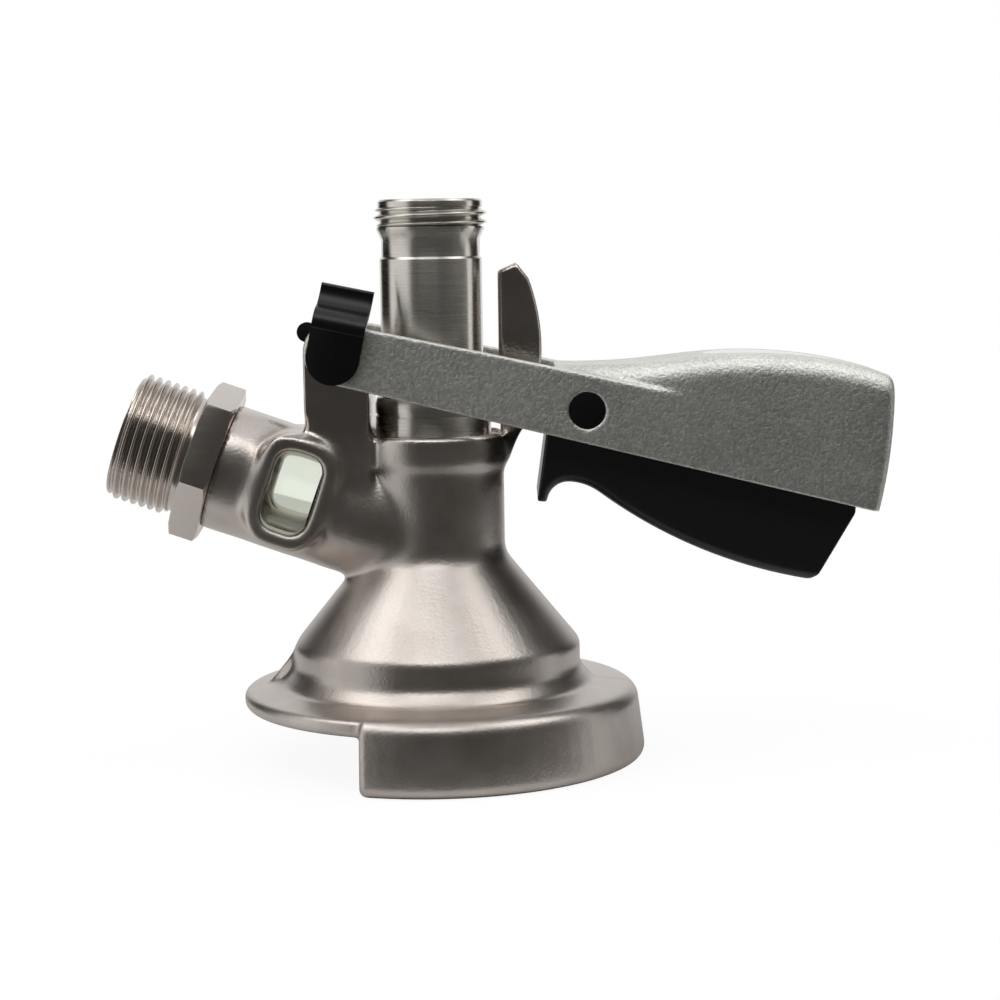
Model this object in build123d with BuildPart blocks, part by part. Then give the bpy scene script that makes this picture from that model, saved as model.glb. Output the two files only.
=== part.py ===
"""Slide-on keg coupler with a forked lever handle, in millimetres.

The main axis is +Z. The origin lies on it, in the plane of the skirt's foot.
The handle points to +X and the gas branch rises to -X. The handle is down, so the probe is down too.
"""

import os
from math import atan2, cos, degrees, radians, sin, sqrt, tan

from build123d import *

os.makedirs("parts", exist_ok=True)

# Clearances
running_gap = 0.05
seat_gap = 0.02

# The latch line: the front of the blade's curved edge, from which the grip and the trigger are measured
blade_front_x = 22.3


def behind_blade(points):
    """Points whose X is measured from the latch line."""
    return [(blade_front_x + x, z) for x, z in points]


# Turned form of the body
flange_under_z = 11.0
flange_r = 39.8
flange_rim_top_z = 14.2
flange_crown_z = 15.5
flange_rim_round = 1.4
flange_crown_r = 32.0
crown_foot_round = 2.6
ring_foot_round = 1.6
ring_top_round = 2.6
ring_r = 29.4
ring_foot_z = 18.6
ring_top_z = 23.4
neck_r = 14.25
neck_foot_z = 42.0
collar_foot_z = 60.6
collar_top_z = 66.8
collar_r = 15.7
collar_lead = 0.8
collar_round = 1.6
cone_round = 6.0

# Skirt that hooks under the keg's flange
skirt_foot_r = 42.8
skirt_inner_r = 27.0
skirt_shoulder_r = 41.0
skirt_shoulder_z = 14.4
skirt_end_x = -14.0
skirt_shoulder_round = 3.4
skirt_edge_round = 1.8
skirt_end_round = 1.5
channel_half_width = 35.5
lip_half_width = 30.0
lip_top_z = 4.0

# Bores and hollow of the body
probe_bore_r = 11.9
chamber_foot_r = 24.4
chamber_foot_z = 20.6
chamber_top_r = 12.6
chamber_top_z = 38.6
keg_seal_r = 26.2
keg_seal_bore_r = 16.0
keg_seal_top_z = 16.6
keg_seal_proud = 0.4
bush_r = 13.6
bush_length = 4.4
bush_foot_z = 61.6

# Gas branch, measured along its own axis from the main axis
branch_tilt = 19.5
branch_axis_z = 44.8
branch_r = 13.0
branch_length = 46.3
branch_bore_r = 10.7
branch_bore_start = 24.5
branch_throat_r = 6.5
branch_throat_start = 17.5
fitting_bore_r = 11.4
shank_length = 7.9
gas_port_r = 2.2
gas_port_x = -15.1
window_centre = 30.3
window_rise = 1.0
window_length = 9.6
window_height = 16.4
window_round = 3.0
window_frame_border = 3.4
window_frame_proud = 1.3

# Web under the branch
web_thickness = 1.8
web_line = [(-20.1, 34.6), (-35.5, 14.6), (-28.0, 14.6), (-16.0, 32.0)]

# Gas inlet fitting
nut_flats = 29.0
nut_length = 6.0
nut_turn = 18.0
nut_chamfer_r = 15.3
nut_chamfer = 0.9
inlet_thread_r = 13.22
inlet_groove_length = 1.4
inlet_thread_length = 12.9
inlet_thread_chamfer = 1.0
inlet_groove_r = 12.0
inlet_bore_r = 8.2
shank_groove_r = 9.8
shank_groove_back = 1.5
o_ring_wire_r = 0.9

# Sight glass and check valve
glass_bore_r = 8.2
glass_seal_length = 1.3
valve_bore_r = 9.2
valve_bore_rise = 3.7
valve_flange_length = 1.6
valve_body_r = 5.6
valve_length = 8.4
valve_lip_height = 1.6
valve_wall = 1.2
valve_ring_length = 1.6
valve_ring_bore_r = 6.6

# Handle: pivot and lever arms
pivot_x = -18.9
pivot_z = 83.6
arm_end_r = 6.1
arm_half_gap = 12.1
arm_thickness = 3.1
arm_top_line = [(-17.6, 89.4), (13.2, 82.9), (51.4, 74.4)]
arm_foot_line = [(blade_front_x + 66.7, 50.5), (21.8, 67.3), (-20.6, 77.7)]

# Handle: grip
grip_front_x = blade_front_x + 2.3
crown_line = behind_blade([(2.3, 80.5), (12.3, 80.4), (20.5, 80.8), (28.8, 81.6), (37.0, 82.2),
    (45.3, 82.1), (53.5, 81.3), (61.7, 79.8), (69.7, 77.4)])
rear_mid = (blade_front_x + 69.2, 64.9)
grip_wall = 2.6
crown_wall = 3.0
web_foot_z = 75.8
saddle_half_width = 11.8
saddle_mid_x = blade_front_x + 15.7
saddle_mid_half_width = 13.0
saddle_end_x = blade_front_x + 30.7
crown_round = 4.4
rear_round = 2.2

rear_limit_x = 100.0
crown_limit_z = 100.0

# Inlay in the top of the grip
inlay_front_x = blade_front_x + 32.7
inlay_broad_x = blade_front_x + 43.7
inlay_rear_x = blade_front_x + 66.7
inlay_point_slope = 0.6
inlay_half_width = 7.4
inlay_depth = 0.9

# Hinge pin, its clip and its keeper
hinge_pin_r = 3.0
lug_half_width = 11.8
lug_side_r = 6.5
lug_root_z = 50.0
clip_width = 10.6
clip_thickness = 1.5
clip_foot_drop = 0.9
clip_bend_rise = 5.6
clip_curve = [(-0.75, 4.4), (-0.72, 6.4), (0.5, 7.5), (3.4, 8.2), (5.2, 10.0), (5.8, 13.2)]
keeper_reach = 8.6
keeper_width = 4.2
keeper_turn = 159.0
keeper_disc_r = 4.6
keeper_thickness = 1.8

# Studs that carry the probe
stud_r = 2.6
stud_z = 79.3
stud_tip_y = 7.7
stud_sink = 1.8

# Blade that latches the handle
blade_thickness = 4.6
blade_left_x = 13.5
blade_top_left_z = 99.3
blade_tip_z = 100.9
blade_tip_set_back = 2.55
blade_arc_top_z = 97.6
blade_bevel = 0.6
ledge_z = 74.6
ledge_depth = 2.1
ledge_undercut = 0.8
wedge_point_z = 66.8
wedge_set_back = 1.3
wedge_foot = (15.2, 60.6)
blade_root = 1.0

# Probe
probe_r = 10.4
probe_shoulder_r = 11.8
shoulder_top_z = 73.9
shoulder_chamfer = 1.2
shoulder_lead = 0.35
witness_line_z = 70.5
witness_line_height = 0.5
witness_line_depth = 0.25
guide_foot_z = 44.4
probe_tail_r = 8.0
probe_foot_z = 4.0
tail_cone = 4.0
beer_bore_r = 5.0
step_chamfer = 0.45
step_z = 102.3
neck_down_r = 10.0
flare_foot_z = 105.8
flare_top_z = 107.8
flare_r = 10.9
outlet_thread_r = 11.455
outlet_thread_start = 108.3
outlet_thread_end = 112.2
lead_r = 10.6
probe_top_z = 113.8
outlet_mouth_r = 7.6
outlet_mouth_depth = 4.0
slot_floor_y = 7.4
slot_half_height = 2.9
groove_depth = 1.4
groove_half_width = 1.3
lower_groove_z = 47.2
upper_groove_z = 52.6

# Beer seal and ball check in the probe's foot
probe_seal_r = 10.6
probe_seal_bore_r = 3.4
probe_seal_foot_z = 0.8
probe_seal_lead = 1.6
probe_seal_lead_height = 2.2
seal_lip_r = 7.3
seal_lip_foot_z = 6.6
seal_lip_top_z = 8.6
ball_r = 4.0
ball_seat_r = 3.0
ball_lift = 2.0
cage_r = 6.4
cage_bore_r = 4.6
cage_disc = 1.4
cage_hole_circle_r = 3.1
cage_hole_r = 1.2
seat_lip = 0.8
seat_cone = 2.4

# Trigger
trigger_pin_x = blade_front_x + 8.7
trigger_pin_z = 71.7
trigger_pin_r = 3.6
trigger_half_width = 11.6
trigger_hub_r = 5.0
trigger_wall = 2.2
trigger_front = behind_blade([(0.0, 72.6), (0.8, 68.6), (0.5, 66.7), (-1.4, 53.3)])
hook_tip = (blade_front_x + 0.6, 53.0)
finger_top = (blade_front_x + 5.1, 57.0)
finger_top_slope = 0.058
hook_limit_z = 60.0
trigger_foot_line = behind_blade([(11.1, 54.8), (31.7, 43.4), (53.1, 36.6)])
trigger_rear = behind_blade([(54.9, 37.6), (62.3, 50.0), (62.6, 54.2)])
trigger_crown = behind_blade([(2.3, 73.9), (61.9, 55.6), (15.1, 69.8), (10.9, 76.0)])
trigger_round = 2.4
pocket_front_x = blade_front_x + 16.7
pin_sink = 0.3

# Torsion spring on the trigger pin
spring_wire_r = 0.5
spring_coil_r = 4.35
spring_pitch = 1.1
spring_lift = 6.0
spring_leg = 10.8
spring_pocket_half_width = 3.6

# Worked out from the sizes above
tilt = radians(branch_tilt)
branch_point = Vector(0, 0, branch_axis_z)
branch_dir = Vector(-cos(tilt), 0, sin(tilt))
branch_up = Vector(sin(tilt), 0, cos(tilt))
branch_side = Plane(origin=branch_point, x_dir=branch_up, z_dir=(0, -1, 0))
branch_axis = Axis(branch_point, branch_dir)
nut_end = branch_length + nut_length
fitting_bore_start = branch_length - shank_length
shank_groove_s = branch_length - shank_groove_back
valve_bore_end = branch_length + valve_bore_rise
inlet_thread_start = nut_end + inlet_groove_length
inlet_end = inlet_thread_start + inlet_thread_length
nut_corner_r = nut_flats / sqrt(3)
seat_slope = atan2(seat_cone - seat_lip, cage_bore_r - ball_seat_r)
ball_over_seat = (ball_r + running_gap) / cos(seat_slope) - ball_seat_r * tan(seat_slope)
ball_rest_z = probe_foot_z + seat_lip + ball_over_seat
cage_top_z = ball_rest_z + ball_r + ball_lift + running_gap + cage_disc
blade_r = blade_front_x - pivot_x
arm_half_width = arm_half_gap + arm_thickness
pivot = (pivot_x, pivot_z)
trigger_pivot = (trigger_pin_x, trigger_pin_z)
spring_pocket_r = spring_coil_r + spring_wire_r + running_gap
spring_turns = 4.5 - spring_lift / 360
arm_slope = degrees(atan2(arm_top_line[1][1] - arm_top_line[0][1], arm_top_line[1][0] - arm_top_line[0][0]))


def corner_at(outline, radius, height):
    """The outline's corner nearest to a radius and a height."""
    return outline.vertices().sort_by_distance((radius, height, 0))[0]


def across_branch(distance):
    """The plane that cuts the branch square, at a distance along it from the main axis."""
    return Plane(origin=branch_point + branch_dir * distance, x_dir=branch_up, z_dir=branch_dir)


def blade_edge_x(height):
    """Where the blade's curved edge stands at a height."""
    return pivot_x + sqrt(blade_r**2 - (height - pivot_z) ** 2)


def ring_about_z(inner_r, outer_r, foot_z, top_z):
    """A plain turned ring on the main axis."""
    with BuildPart() as ring:
        with BuildSketch(Plane.XY.offset(foot_z)):
            Circle(outer_r)
            Circle(inner_r, mode=Mode.SUBTRACT)
        extrude(amount=top_z - foot_z)
    return ring


def write(builder, name):
    builder.part.label = name
    export_step(builder.part, f"parts/{name}.step")


# Skirt: a turned wall kept only on the handle's side
with BuildPart() as skirt:
    with BuildSketch(Plane.XZ) as skirt_outline:
        with BuildLine():
            Polyline((skirt_inner_r, 0), (skirt_foot_r, 0), (skirt_shoulder_r, skirt_shoulder_z),
                     (flange_crown_r, flange_crown_z), (skirt_inner_r, flange_crown_z), close=True)
        make_face()
        fillet(corner_at(skirt_outline, skirt_foot_r, 0), skirt_edge_round)
        fillet(corner_at(skirt_outline, skirt_shoulder_r, skirt_shoulder_z), skirt_shoulder_round)
    revolve(axis=Axis.Z)
    split(bisect_by=Plane(origin=(skirt_end_x, 0, 0), z_dir=(1, 0, 0)), keep=Keep.TOP)
    end_edges = skirt.edges().filter_by_position(Axis.X, skirt_end_x - seat_gap, skirt_end_x + seat_gap)
    fillet(end_edges.filter_by(lambda edge: abs(edge.center().Y) > skirt_inner_r + skirt_edge_round
                               and edge.center().Z > skirt_edge_round), skirt_end_round)

# Blade: its outer edge is an arc about the pivot, with a ledge below, and its edges are bevelled
arc_top = (blade_edge_x(blade_arc_top_z), blade_arc_top_z)
arc_foot = (blade_edge_x(ledge_z), ledge_z)
arc_mid_z = (blade_arc_top_z + ledge_z) / 2
ledge_x = arc_foot[0] - ledge_depth
with BuildPart() as blade:
    with BuildSketch(Plane.XZ):
        with BuildLine():
            Polyline(arc_foot, (ledge_x, ledge_z - ledge_undercut),
                     (ledge_x, wedge_point_z + ledge_undercut), (ledge_x - wedge_set_back, wedge_point_z),
                     wedge_foot, (neck_r - blade_root, wedge_foot[1]),
                     (blade_left_x, collar_top_z - collar_round), (blade_left_x, blade_top_left_z),
                     (arc_top[0] - blade_tip_set_back, blade_tip_z), arc_top)
            ThreePointArc(arc_top, (blade_edge_x(arc_mid_z), arc_mid_z), arc_foot)
        make_face()
    extrude(amount=blade_thickness / 2, both=True)
    bevelled = blade.faces().filter_by(Axis.Y).edges().filter_by(
        lambda edge: edge.center().Z > ledge_z + blade_bevel)
    chamfer(bevelled, blade_bevel)

# Body casting: flange, cone, neck and collar as one turned form
with BuildPart() as body_casting:
    with BuildSketch(Plane.XZ) as outline:
        with BuildLine():
            Polyline(
                (0, flange_under_z), (flange_r, flange_under_z), (flange_r, flange_rim_top_z),
                (flange_crown_r, flange_crown_z), (ring_r, ring_foot_z), (ring_r, ring_top_z),
                (neck_r, neck_foot_z), (neck_r, collar_foot_z - collar_lead), (collar_r, collar_foot_z),
                (collar_r, collar_top_z), (0, collar_top_z), close=True)
        make_face()
        for corner_r, corner_z, radius in [
            (flange_r, flange_under_z, flange_rim_round),
            (flange_r, flange_rim_top_z, flange_rim_round),
            (flange_crown_r, flange_crown_z, crown_foot_round),
            (ring_r, ring_foot_z, ring_foot_round),
            (ring_r, ring_top_z, ring_top_round),
            (neck_r, neck_foot_z, cone_round),
            (collar_r, collar_top_z, collar_round),
        ]:
            fillet(corner_at(outline, corner_r, corner_z), radius)
    revolve(axis=Axis.Z)
    add(skirt.part)
    add(blade.part)

    # Channel for the keg's flange, with the lips below it
    for foot, top, half_width in [(lip_top_z, flange_under_z, channel_half_width),
                                  (-1, lip_top_z, lip_half_width)]:
        with BuildSketch(Plane.XY.offset(foot)):
            Circle(half_width)
            with Locations((-skirt_foot_r / 2, 0)):
                Rectangle(skirt_foot_r, 2 * half_width)
        extrude(amount=top - foot, mode=Mode.SUBTRACT)

    # Branch, with a raised frame round each window
    with BuildSketch(across_branch(0)):
        Circle(branch_r)
    extrude(amount=branch_length)
    with BuildSketch(branch_side) as window_frame:
        with Locations((window_rise, window_centre)):
            RectangleRounded(window_height + 2 * window_frame_border,
                             window_length + 2 * window_frame_border, window_round + window_frame_border)
    extrude(amount=branch_r + window_frame_proud, both=True)

    # Lug that carries the lever, rounded about the pivot
    with BuildSketch(Plane.XZ):
        with Locations(pivot):
            Circle(lug_side_r)
        with BuildLine():
            Polyline((pivot_x - lug_side_r, pivot_z), (pivot_x + lug_side_r, pivot_z),
                     (pivot_x + lug_side_r, lug_root_z), (pivot_x - lug_side_r, lug_root_z), close=True)
        make_face()
    extrude(amount=lug_half_width, both=True)

    # Web from the branch's root down to the flange
    with BuildSketch(Plane.XZ):
        with BuildLine():
            Polyline(*web_line, close=True)
        make_face()
    extrude(amount=web_thickness / 2, both=True)

    # Main bore, chamber over the keg valve and seats for the seal and the bush
    with BuildSketch(Plane.XZ):
        with BuildLine():
            Polyline(
                (0, 0), (keg_seal_r + seat_gap, 0), (keg_seal_r + seat_gap, keg_seal_top_z),
                (chamber_foot_r, keg_seal_top_z), (chamber_foot_r, chamber_foot_z),
                (chamber_top_r, chamber_top_z), (probe_bore_r, chamber_top_z + 1),
                (probe_bore_r, bush_foot_z), (bush_r + seat_gap, bush_foot_z),
                (bush_r + seat_gap, collar_top_z + 1), (0, collar_top_z + 1), close=True)
        make_face()
    revolve(axis=Axis.Z, mode=Mode.SUBTRACT)

    # Stepped bore of the branch, the windows and the gas port
    for start, end, radius in [(branch_throat_start, branch_length, branch_throat_r),
                               (branch_bore_start, branch_length, branch_bore_r + seat_gap),
                               (fitting_bore_start, branch_length + 1, fitting_bore_r + seat_gap)]:
        with BuildSketch(across_branch(start)):
            Circle(radius)
        extrude(amount=end - start, mode=Mode.SUBTRACT)
    with BuildSketch(branch_side):
        with Locations((window_rise, window_centre)):
            RectangleRounded(window_height, window_length, window_round)
    extrude(amount=2 * branch_r, both=True, mode=Mode.SUBTRACT)
    with BuildSketch(Plane.XY.offset(chamber_foot_z)):
        with Locations((gas_port_x, 0)):
            Circle(gas_port_r)
    extrude(amount=branch_axis_z - chamber_foot_z, mode=Mode.SUBTRACT)

    # Bore for the hinge pin
    with BuildSketch(Plane.XZ):
        with Locations(pivot):
            Circle(hinge_pin_r + running_gap)
    extrude(amount=2 * lug_half_width, both=True, mode=Mode.SUBTRACT)
write(body_casting, "body_casting")

# Seals and bush in the body
keg_seal = ring_about_z(keg_seal_bore_r, keg_seal_r, flange_under_z - keg_seal_proud, keg_seal_top_z)
write(keg_seal, "keg_seal")
guide_bush = ring_about_z(probe_bore_r, bush_r, bush_foot_z, bush_foot_z + bush_length)
write(guide_bush, "guide_bush")

# Gas inlet fitting: hexagon, threaded outlet and the shank in the branch
with BuildPart() as gas_inlet_fitting:
    with BuildSketch(branch_side):
        with BuildLine():
            Polyline(
                (inlet_bore_r, fitting_bore_start), (fitting_bore_r, fitting_bore_start),
                (fitting_bore_r, branch_length), (fitting_bore_r, nut_end), (inlet_groove_r, nut_end),
                (inlet_groove_r, inlet_thread_start), (inlet_thread_r, inlet_thread_start),
                (inlet_thread_r, inlet_end - inlet_thread_chamfer),
                (inlet_thread_r - inlet_thread_chamfer, inlet_end), (inlet_bore_r, inlet_end), close=True)
        make_face()
    revolve(axis=branch_axis)
    with BuildSketch(across_branch(branch_length)):
        RegularPolygon(nut_flats / 2, 6, major_radius=False, rotation=nut_turn)
        Circle(inlet_bore_r, mode=Mode.SUBTRACT)
    extrude(amount=nut_length)
    with BuildSketch(branch_side):
        with BuildLine():
            Polyline((valve_bore_r, fitting_bore_start), (valve_bore_r, valve_bore_end),
                     (0, valve_bore_end), (0, fitting_bore_start), close=True)
        make_face()
        with Locations(((shank_groove_r + fitting_bore_r + 1) / 2, shank_groove_s)):
            Rectangle(fitting_bore_r + 1 - shank_groove_r, 2 * o_ring_wire_r)
    revolve(axis=branch_axis, mode=Mode.SUBTRACT)
    cutter_r = nut_corner_r + 1
    for face_s, edge_s in [(branch_length, branch_length + nut_chamfer), (nut_end, nut_end - nut_chamfer)]:
        with BuildSketch(branch_side):
            with BuildLine():
                Polyline((nut_chamfer_r, face_s), (cutter_r, face_s), (cutter_r, edge_s), close=True)
            make_face()
        revolve(axis=branch_axis, mode=Mode.SUBTRACT)
write(gas_inlet_fitting, "gas_inlet_fitting")


def ring_in_branch(inner_r, outer_r, start, end):
    """A plain turned ring on the branch's axis."""
    with BuildPart() as ring:
        with BuildSketch(across_branch(start)):
            Circle(outer_r)
            Circle(inner_r, mode=Mode.SUBTRACT)
        extrude(amount=end - start)
    return ring


# Sight glass between its two seals
inner_seal_end = branch_bore_start + glass_seal_length
outer_seal_start = fitting_bore_start - glass_seal_length
for start, end, name in [(branch_bore_start, inner_seal_end, "sight_glass_seal_inner"),
                         (inner_seal_end, outer_seal_start, "sight_glass"),
                         (outer_seal_start, fitting_bore_start, "sight_glass_seal_outer")]:
    write(ring_in_branch(glass_bore_r, branch_bore_r, start, end), name)

# Seal ring on the fitting's shank
with BuildPart() as fitting_o_ring:
    with BuildSketch(branch_side):
        with Locations(((shank_groove_r + fitting_bore_r) / 2, shank_groove_s)):
            Circle((fitting_bore_r - shank_groove_r) / 2)
    revolve(axis=branch_axis)
write(fitting_o_ring, "fitting_o_ring")

# Check valve: a rubber duckbill whose flange is held by a ring
valve_flange_start = valve_bore_end - valve_flange_length
with BuildPart() as check_valve:
    with BuildSketch(across_branch(valve_flange_start)):
        Circle(valve_bore_r - seat_gap)
    extrude(amount=valve_flange_length)
    with BuildSketch(across_branch(valve_flange_start)):
        Circle(valve_body_r)
    with BuildSketch(across_branch(valve_flange_start - valve_length)):
        Rectangle(valve_lip_height, 2 * valve_body_r)
    loft()
    with BuildSketch(across_branch(valve_bore_end)):
        Circle(valve_body_r - valve_wall)
    extrude(amount=-valve_flange_length - valve_wall, mode=Mode.SUBTRACT)
write(check_valve, "check_valve")
write(ring_in_branch(valve_ring_bore_r, valve_bore_r - seat_gap, valve_flange_start - valve_ring_length,
                     valve_flange_start), "check_valve_ring")

# Beer probe: tube, guide, seal grooves and the milled flats that the lever's studs run in
with BuildPart() as beer_probe:
    with BuildSketch(Plane.XZ):
        with BuildLine():
            Polyline(
                (cage_r + seat_gap, probe_foot_z), (probe_tail_r, probe_foot_z),
                (probe_tail_r, seal_lip_foot_z), (seal_lip_r, seal_lip_foot_z),
                (seal_lip_r, seal_lip_top_z), (probe_tail_r, seal_lip_top_z),
                (probe_tail_r, guide_foot_z - tail_cone), (probe_shoulder_r, guide_foot_z),
                (probe_shoulder_r, shoulder_top_z - shoulder_chamfer),
                (probe_shoulder_r - shoulder_lead, shoulder_top_z), (probe_r, shoulder_top_z),
                (probe_r, step_z - step_chamfer), (neck_down_r, step_z), (neck_down_r, flare_foot_z),
                (flare_r, flare_top_z), (flare_r, outlet_thread_start),
                (outlet_thread_r, outlet_thread_start), (outlet_thread_r, outlet_thread_end),
                (lead_r, outlet_thread_end), (lead_r, probe_top_z - step_chamfer),
                (lead_r - step_chamfer, probe_top_z), (outlet_mouth_r, probe_top_z),
                (beer_bore_r, probe_top_z - outlet_mouth_depth), (beer_bore_r, cage_top_z),
                (cage_r + seat_gap, cage_top_z), close=True)
        make_face()
        for groove_z in (lower_groove_z, upper_groove_z):
            with Locations((probe_shoulder_r, groove_z)):
                Rectangle(2 * groove_depth, 2 * groove_half_width, mode=Mode.SUBTRACT)
        with Locations((probe_shoulder_r, witness_line_z)):
            Rectangle(2 * witness_line_depth, witness_line_height, mode=Mode.SUBTRACT)
    revolve(axis=Axis.Z)
    flat_depth = probe_r - slot_floor_y
    with Locations(*[(0, side * (slot_floor_y + flat_depth), stud_z) for side in (-1, 1)]):
        Box(2 * probe_r, 2 * flat_depth, 2 * slot_half_height, mode=Mode.SUBTRACT)
write(beer_probe, "beer_probe")

# Rings in the probe's grooves
groove_floor_r = probe_shoulder_r - groove_depth
for groove_z, name in [(lower_groove_z, "probe_o_ring_lower"), (upper_groove_z, "probe_o_ring_upper")]:
    with BuildPart() as probe_o_ring:
        with BuildSketch(Plane.XZ):
            with Locations(((groove_floor_r + probe_bore_r) / 2, groove_z)):
                Circle((probe_bore_r - groove_floor_r) / 2 - seat_gap)
        revolve(axis=Axis.Z)
    write(probe_o_ring, name)

# Rubber seal snapped over the probe's foot
with BuildPart() as probe_seal:
    with BuildSketch(Plane.XZ) as seal_outline:
        with BuildLine():
            Polyline(
                (probe_seal_bore_r, probe_seal_foot_z), (probe_seal_r - probe_seal_lead, probe_seal_foot_z),
                (probe_seal_r, probe_seal_foot_z + probe_seal_lead_height),
                (probe_seal_r - probe_seal_lead / 2, seal_lip_top_z),
                (seal_lip_r, seal_lip_top_z), (seal_lip_r, seal_lip_foot_z),
                (probe_tail_r, seal_lip_foot_z), (probe_tail_r, probe_foot_z),
                (probe_seal_bore_r, probe_foot_z), close=True)
        make_face()
    revolve(axis=Axis.Z)
write(probe_seal, "probe_seal")

# Cage with a conical seat for the ball, closed above by a pierced disc
with BuildPart() as ball_cage:
    with BuildSketch(Plane.XZ):
        with BuildLine():
            Polyline(
                (ball_seat_r, probe_foot_z), (cage_r, probe_foot_z), (cage_r, cage_top_z), (0, cage_top_z),
                (0, cage_top_z - cage_disc), (cage_bore_r, cage_top_z - cage_disc),
                (cage_bore_r, probe_foot_z + seat_cone), (ball_seat_r, probe_foot_z + seat_lip), close=True)
        make_face()
    revolve(axis=Axis.Z)
    with BuildSketch(Plane.XY.offset(cage_top_z - cage_disc)):
        with PolarLocations(cage_hole_circle_r, 4):
            Circle(cage_hole_r)
    extrude(amount=cage_disc, mode=Mode.SUBTRACT)
write(ball_cage, "ball_cage")

with BuildPart() as check_ball:
    with Locations((0, 0, ball_rest_z)):
        Sphere(ball_r)
write(check_ball, "check_ball")

# Lever and grip: outlines seen from the side
def arm_foot_at(x):
    """Height of the lever's straight lower edge."""
    (rear_x, rear_z), (front_x, front_z) = arm_foot_line[:2]
    return front_z + (x - front_x) * (rear_z - front_z) / (rear_x - front_x)


def grip_outline(front_x, crown_drop, rear_inset, foot_drop):
    """The grip's side outline, with its crown lowered and its rear moved in by a wall."""
    crown = [(max(x, front_x), z - crown_drop) for x, z in crown_line[:-1]]
    rear_top = (crown_line[-1][0] - rear_inset, crown_line[-1][1] - crown_drop)
    rear_foot = (arm_foot_line[0][0] - rear_inset, arm_foot_line[0][1] - foot_drop)
    front_foot = (front_x, arm_foot_at(front_x) - foot_drop)
    with BuildSketch(Plane.XZ) as side_outline:
        with BuildLine():
            Spline(*crown, rear_top)
            ThreePointArc(rear_top, (rear_mid[0] - rear_inset, rear_mid[1]), rear_foot)
            Polyline(rear_foot, front_foot, crown[0])
        make_face()
    return side_outline.sketch


# Grip: narrowed in plan where the arms run into it, and rounded along the crown
with BuildPart() as grip:
    add(extrude(grip_outline(grip_front_x, 0, 0, 0), amount=arm_half_width, both=True, mode=Mode.PRIVATE))
    with BuildSketch(Plane.XY):
        with BuildLine():
            plan_front = grip_front_x - 1
            for side in (1, -1):
                Spline((plan_front, side * saddle_half_width), (saddle_mid_x, side * saddle_mid_half_width),
                       (saddle_end_x, side * arm_half_width), tangents=[(1, 0), (1, 0)])
                Line((saddle_end_x, side * arm_half_width), (rear_limit_x, side * arm_half_width))
            Line((plan_front, saddle_half_width), (plan_front, -saddle_half_width))
            Line((rear_limit_x, arm_half_width), (rear_limit_x, -arm_half_width))
        make_face()
    extrude(amount=crown_limit_z, mode=Mode.INTERSECT)
    crown_edges = grip.edges().filter_by(GeomType.BSPLINE).filter_by(
        lambda edge: edge.center().Z > crown_line[0][1] - seat_gap)
    fillet(crown_edges, crown_round)
    rear_edges = grip.faces().sort_by(Axis.X)[-1].edges().filter_by(
        lambda edge: edge.center().Z > arm_foot_line[0][1] + rear_round)
    fillet(rear_edges, rear_round)

# Handle: the grip and its two arms in one casting, hollowed from below
with BuildPart() as handle:
    with BuildSketch(Plane.XZ):
        with Locations(pivot):
            Circle(arm_end_r)
        with BuildLine():
            Polyline(*arm_top_line, (arm_top_line[-1][0], arm_foot_at(arm_top_line[-1][0])),
                     *arm_foot_line[1:], close=True)
        make_face()
    extrude(amount=arm_half_width, both=True)
    add(grip.part)
    fork_left, fork_top = pivot_x - 2 * arm_end_r, pivot_z + 2 * arm_end_r
    fork_foot = arm_foot_line[0][1]
    with BuildSketch(Plane.XZ):
        with BuildLine():
            Polyline((fork_left, fork_top), (grip_front_x, fork_top), (grip_front_x, web_foot_z),
                     (grip_front_x + grip_wall, web_foot_z), (grip_front_x + grip_wall, fork_foot),
                     (fork_left, fork_foot), close=True)
        make_face()
    extrude(amount=arm_half_gap, both=True, mode=Mode.SUBTRACT)
    hollow = grip_outline(grip_front_x + grip_wall, crown_wall, grip_wall, grip_wall)
    add(extrude(hollow, amount=arm_half_gap, both=True, mode=Mode.PRIVATE), mode=Mode.SUBTRACT)

    # Holes for the hinge pin and the trigger pin, and blind holes for the studs
    for centre, radius in [(pivot, hinge_pin_r), (trigger_pivot, trigger_pin_r)]:
        with BuildSketch(Plane.XZ):
            with Locations(centre):
                Circle(radius + seat_gap)
        extrude(amount=2 * arm_half_width, both=True, mode=Mode.SUBTRACT)
    with BuildSketch(Plane.XZ):
        with Locations((0, stud_z)):
            Circle(stud_r + seat_gap)
    extrude(amount=arm_half_gap + stud_sink, both=True, mode=Mode.SUBTRACT)

# Inlay let into the crown
with BuildPart() as handle_inlay:
    add(extrude(grip_outline(grip_front_x, 0, 0, 0), amount=inlay_half_width, both=True,
                mode=Mode.PRIVATE))
    add(extrude(grip_outline(grip_front_x - 1, inlay_depth, -inlay_depth, inlay_depth),
                amount=arm_half_width, both=True, mode=Mode.PRIVATE), mode=Mode.SUBTRACT)
    with BuildSketch(Plane.XY):
        with BuildLine():
            for side in (1, -1):
                Spline((inlay_front_x, 0), (inlay_broad_x, side * inlay_half_width), (inlay_rear_x, 0),
                       tangents=[(0, side), (1, -side * inlay_point_slope)])
        make_face()
    extrude(amount=crown_limit_z, mode=Mode.INTERSECT)
with BuildPart() as handle_with_recess:
    add(handle.part)
    add(handle_inlay.part, mode=Mode.SUBTRACT)
write(handle_with_recess, "handle")
write(handle_inlay, "handle_inlay")

# Hinge pin through both arms and the lug
with BuildPart() as hinge_pin:
    with BuildSketch(Plane.XZ):
        with Locations(pivot):
            Circle(hinge_pin_r)
    extrude(amount=arm_half_width, both=True)
write(hinge_pin, "hinge_pin")

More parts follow.
